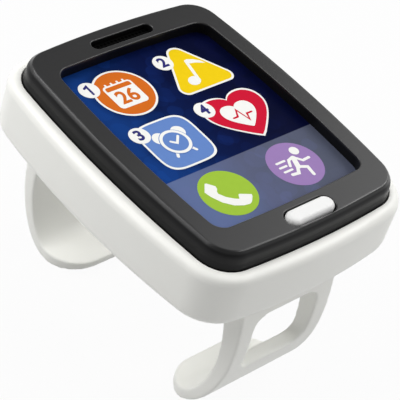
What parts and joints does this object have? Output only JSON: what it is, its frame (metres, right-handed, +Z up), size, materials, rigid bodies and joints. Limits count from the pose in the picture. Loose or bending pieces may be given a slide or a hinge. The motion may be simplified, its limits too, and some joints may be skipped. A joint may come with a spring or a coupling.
{
  "type": "toy watch",
  "caption": "Child's pretend smart watch: a recessed printed screen and a press button in a rounded case, on two open curved wrist arms.",
  "frame": {"origin": "on the surface the arms stand on, under the middle of the case", "axes": "+Z up out of the screen, +Y towards 12 o'clock, +X towards 3 o'clock"},
  "size_m": [0.0566, 0.0682, 0.0507],
  "materials": {
    "case_white": "satin moulded",
    "bezel_dark": "fine satin",
    "screen_print": "printed, satin",
    "touch_film": "film",
    "guide_clear": "clear moulded",
    "grille_black": "matte",
    "button_white": "gloss",
    "carbon_rubber": "matte",
    "dome_rubber": "matte",
    "board_green": "solder mask",
    "resin_black": "cast resin",
    "capacitor_tan": "sintered",
    "led_lens": "clear resin",
    "screw_steel": "zinc plated",
    "speaker_steel": "pressed",
    "cone_film": "film",
    "magnet_dark": "plated",
    "lead_red": "satin",
    "knob_black": "satin",
    "cell_steel": "bright",
    "contact_brass": "rolled",
    "arm_white": "satin moulded",
    "clamp_plastic": "moulded"
  },
  "bodies": {
    "watch_case": {"case": "case_white", "bezel": "bezel_dark", "screen_panel": "screen_print", "touch_sheet": "touch_film", "light_guide": "guide_clear", "slot_grille": "grille_black", "button_dome": "dome_rubber", "main_board": "board_green", "sound_chip": "resin_black", "capacitor": "capacitor_tan", "led_left": "led_lens", "led_right": "led_lens", "board_screws": "screw_steel", "speaker_frame": "speaker_steel", "speaker_cone": "cone_film", "speaker_magnet": "magnet_dark", "speaker_leads": "lead_red", "power_switch": "speaker_steel", "cell_left": "cell_steel", "cell_middle": "cell_steel", "cell_right": "cell_steel", "contact_plus": "contact_brass", "contact_minus": "contact_brass", "contact_link_top": "contact_brass", "case_screws": "screw_steel", "front_arm_clamp": "clamp_plastic", "rear_arm_clamp": "clamp_plastic", "clamp_screws": "screw_steel"},
    "button": {"home_button": "button_white", "contact_pill": "carbon_rubber"},
    "knob": {"switch_knob": "knob_black"},
    "door": {"battery_door": "case_white", "door_screws": "screw_steel", "contact_link_door": "contact_brass"},
    "arm_front": {"front_arm": "arm_white"},
    "arm_rear": {"rear_arm": "arm_white"}
  },
  "joints": [
    {"name": "home_button_press", "type": "slide", "parent": "watch_case", "child": "button", "axis": [0, 0, -1], "range_m": [0, 0.0008], "stiffness_N_per_m": 400, "springref_m": -0.0003, "deforming": ["button_dome"]},
    {"name": "power_knob_slide", "type": "slide", "parent": "watch_case", "child": "knob", "axis": [1, 0, 0], "range_m": [0, 0.003]},
    {"name": "battery_door_lift", "type": "slide", "parent": "watch_case", "child": "door", "axis": [0, 0, -1], "range_m": [0, 0.014]},
    {"name": "front_arm_flex", "type": "hinge", "parent": "watch_case", "child": "arm_front", "pos_m": [0, -0.0274, 0.035], "axis": [-1, 0, 0], "range_deg": [0, 8], "stiffness_Nm_per_rad": 0.3, "springref_deg": -2.86},
    {"name": "rear_arm_flex", "type": "hinge", "parent": "watch_case", "child": "arm_rear", "pos_m": [0, 0.0274, 0.035], "axis": [1, 0, 0], "range_deg": [0, 8], "stiffness_Nm_per_rad": 0.3, "springref_deg": -2.86}
  ]
}
